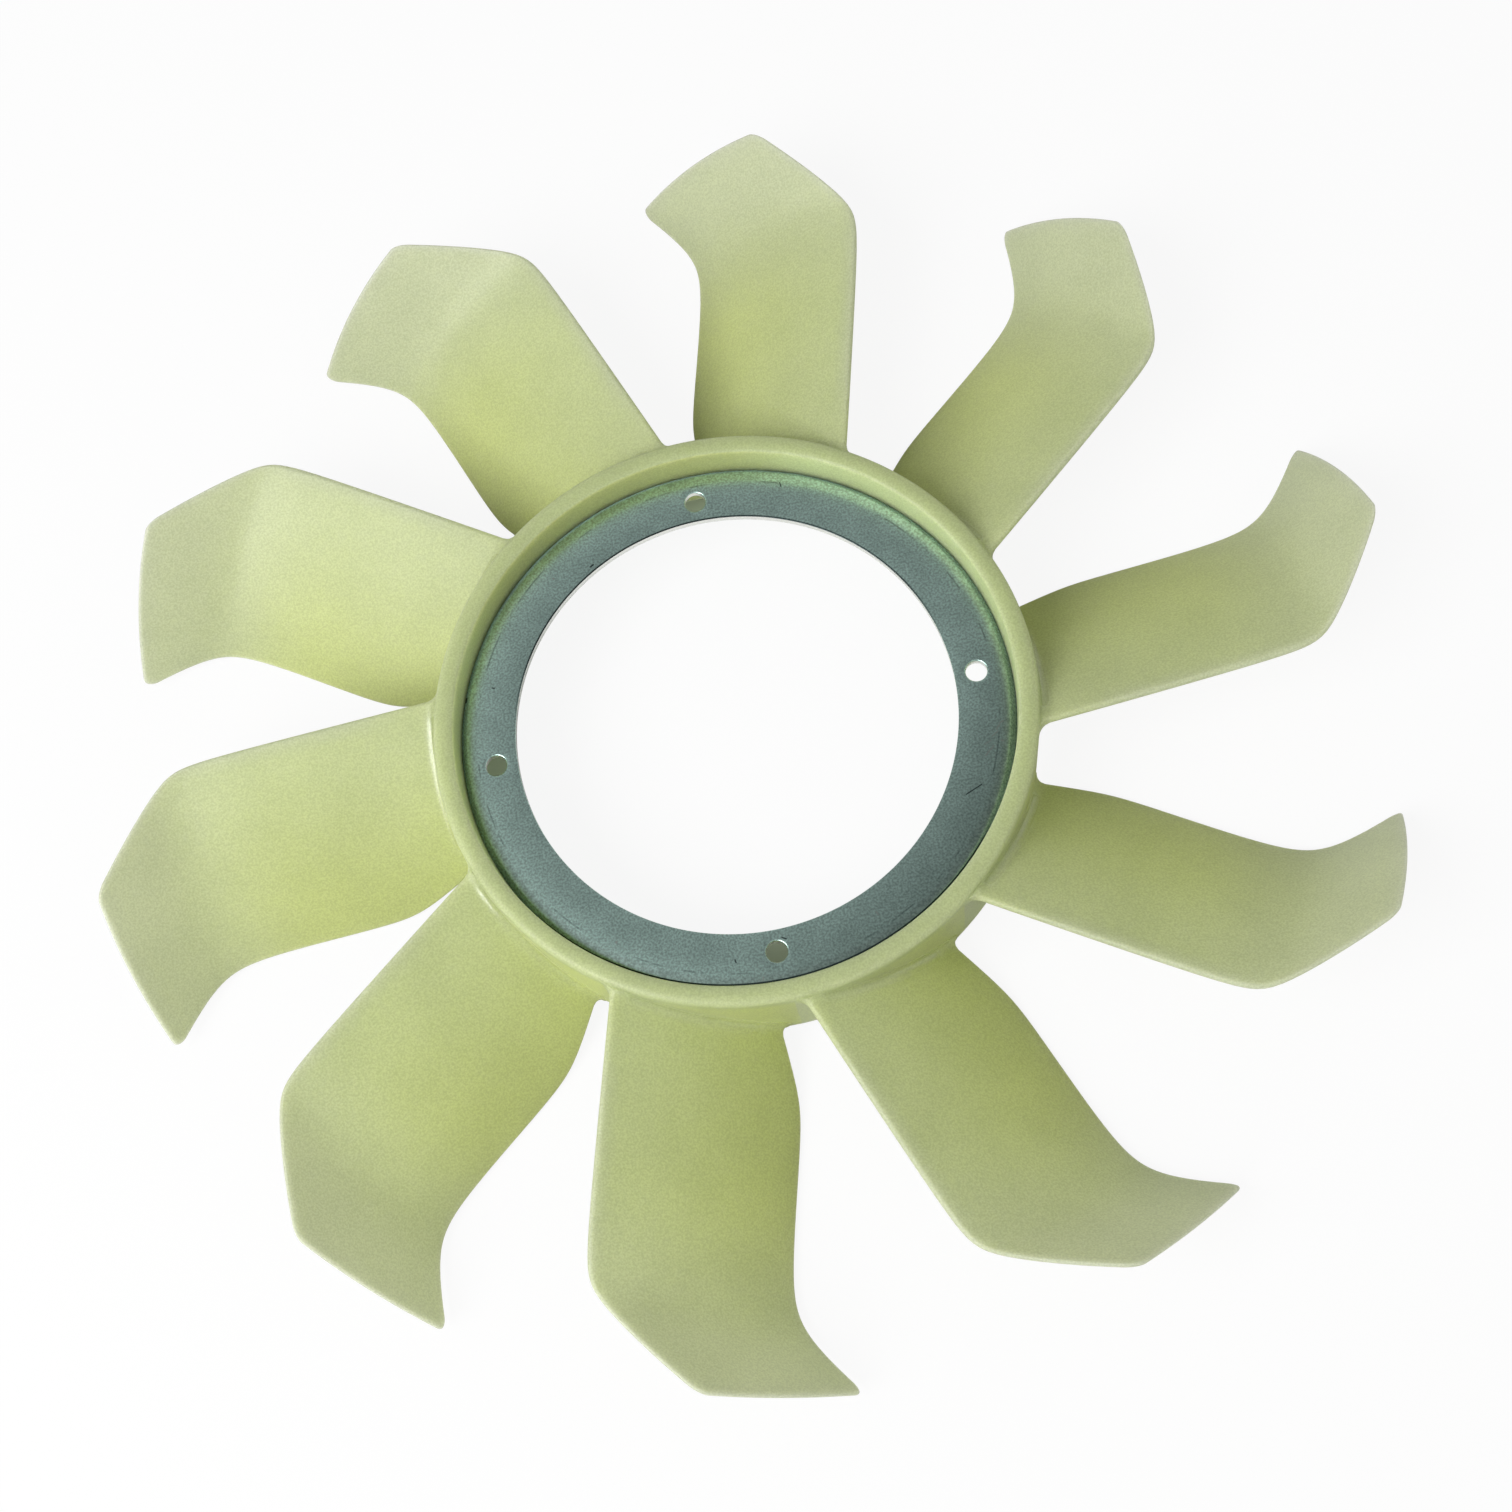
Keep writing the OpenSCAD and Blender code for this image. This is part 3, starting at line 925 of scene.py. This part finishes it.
def make_camera():
    """The photograph's viewpoint."""
    data = bpy.data.cameras.new("camera")
    data.sensor_width = SENSOR
    data.lens = FOCAL_LENGTH_PIXELS / PHOTO_SIDE * SENSOR
    data.shift_x = (PHOTO_SIDE / 2 - AXIS_PIXEL[0]) / PHOTO_SIDE
    data.shift_y = (AXIS_PIXEL[1] - PHOTO_SIDE / 2) / PHOTO_SIDE
    data.clip_start = CLIP_START
    data.clip_end = CLIP_END
    camera = piece("camera", data)
    turn = Matrix(CAMERA_AXES).transposed()
    camera.matrix_world = Matrix.Translation(Vector(CAMERA_PLACE) * MM) @ turn.to_4x4()
    bpy.context.scene.camera = camera


# Floor: its side in metres, how much of what the camera sees is plain white, and its surface
FLOOR_SIZE = 6.0
FLOOR_WHITE = 0.9
FLOOR_COLOUR = grey(0.8)
FLOOR_ROUGHNESS = 0.9

# Shaded band of floor that the bolt holes look down on: its centre, its radii, how softly it
# ends, and where it passes into the lit floor
UNDER_RING_X = -1.2
UNDER_RING_Y = 11.8
UNDER_RING_INNER = 73.0
UNDER_RING_OUTER = 84.0
UNDER_RING_FADE = 1.5
UNDER_RING_LIT_SPAN = (12.0, 58.0)
UNDER_RING_COLOUR = (0.62, 0.69, 0.52, 1.0)


def make_floor(place):
    """A plain pale floor at the lowest point of the fan. The camera sees it near white, and a part
    of what it sees is the lit surface, so the fan's shadow stays. Under the shaded side of the
    steel ring it sees the lit surface alone, so that the bolt holes look down on shade. Its colour
    there stands for the light that the nylon lets through."""
    level = cad_low.z / MM
    half = FLOOR_SIZE / MM / 2
    corners = np.array(
        [[(-half, -half, level), (-half, half, level)], [(half, -half, level), (half, half, level)]]
    )
    floor = piece("floor", grid_mesh("floor", corners))
    material, build, shader = new_material("floor")
    build.give(shader["Roughness"], FLOOR_ROUGHNESS)
    build.give(shader["Specular IOR Level"], 0.0)
    seen = build.add("ShaderNodeLightPath").outputs["Is Camera Ray"]
    where = build.use(place)
    distance = build.distance(where, UNDER_RING_X, UNDER_RING_Y)
    middle = (UNDER_RING_INNER + UNDER_RING_OUTER) / 2
    off_middle = build.maths("ABSOLUTE", build.maths("SUBTRACT", distance, middle))
    edge = UNDER_RING_OUTER - middle
    outside = build.span(off_middle, edge, edge + UNDER_RING_FADE)
    outside = build.maths("MAXIMUM", outside, build.span(where["X"], *UNDER_RING_LIT_SPAN))
    build.give(shader["Base Color"], build.blend(outside, UNDER_RING_COLOUR, FLOOR_COLOUR))
    glow = build.add("ShaderNodeEmission")
    build.give(glow.inputs["Color"], grey(1.0))
    mixer = build.add("ShaderNodeMixShader")
    share = build.maths("MULTIPLY", build.maths("MULTIPLY", seen, outside), FLOOR_WHITE)
    build.give(mixer.inputs[0], share)
    build.give(mixer.inputs[1], material.node_tree.nodes["Principled BSDF"].outputs["BSDF"])
    build.give(mixer.inputs[2], glow.outputs["Emission"])
    output = material.node_tree.nodes["Material Output"]
    build.give(output.inputs["Surface"], mixer.outputs["Shader"])
    floor.data.materials.append(material)


# Lamps: how far they stand off and how wide they are, in metres
LAMP_DISTANCE = 1.6
LAMP_SIZE = 1.1


def area_light(name, azimuth, elevation, power):
    """A square soft light that looks at the origin from an azimuth and an elevation in degrees."""
    data = bpy.data.lights.new(name, "AREA")
    data.size = LAMP_SIZE
    data.energy = power
    lamp = piece(name, data)
    a, e = math.radians(azimuth), math.radians(elevation)
    direction = Vector((math.cos(a) * math.cos(e), math.sin(a) * math.cos(e), math.sin(e)))
    lamp.location = direction * LAMP_DISTANCE
    lamp.rotation_euler = direction.to_track_quat("Z", "Y").to_euler()


# Lamps: name, azimuth, elevation and power
LAMPS = (("key", 211.0, 47.0, 25.5),)

# Light of the sky, and how bright the camera sees it past the floor
SKY_LEVEL = 0.45
SKY_SEEN = 0.97

# Dim patch of ceiling: the direction of its middle, how far off that it starts and is full, and
# the share of the sky's light that it lacks
DIM_DIRECTION = (0.2, 0.1, 0.97)
DIM_START = math.cos(math.radians(32))
DIM_FULL = math.cos(math.radians(10))
DIM_SHARE = 0.6

# How much brighter the sky is on one side, as the extra share along X and Y
SKY_SLANT = (0.28, -0.16, 0.0)


def make_light():
    """Soft studio light: a sky that is a little brighter on one side, with a dim patch overhead,
    which the steel reflects, and the lamps. The camera itself sees the sky near white."""
    world = bpy.data.worlds.new("studio")
    world.use_nodes = True
    build = Nodes(world.node_tree)
    direction = build.add("ShaderNodeTexCoord").outputs["Generated"]
    overhead, slant = (build.dot(direction, axis) for axis in (DIM_DIRECTION, SKY_SLANT))
    level = build.span(overhead, DIM_START, DIM_FULL, SKY_LEVEL, SKY_LEVEL * (1 - DIM_SHARE))
    level = build.maths("MULTIPLY", level, build.maths("ADD", slant, 1.0))
    seen = build.add("ShaderNodeLightPath").outputs["Is Camera Ray"]
    level = build.maths("MAXIMUM", level, build.maths("MULTIPLY", seen, SKY_SEEN))
    sky = world.node_tree.nodes["Background"].inputs
    build.give(sky["Color"], grey(1.0))
    build.give(sky["Strength"], level)
    bpy.context.scene.world = world
    for name, azimuth, elevation, power in LAMPS:
        area_light(name, azimuth, elevation, power)


def dress(made, node, material):
    """Gives a piece its material and puts it in the place of its node."""
    made.data.materials.clear()
    made.data.materials.append(material)
    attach(made, "root")
    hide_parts(node)


grain = grain_group()
place = place_group()
stroke = stroke_group(place)
blade = blade_group(place)
make_camera()
make_floor(place)
make_light()
dress(make_moulding(), "fan_moulding", moulded_plastic(grain, place, blade))
dress(make_ring(), "mounting_ring", zinc_plate(grain, place, stroke))

bpy.context.scene.view_settings.view_transform = "Standard"
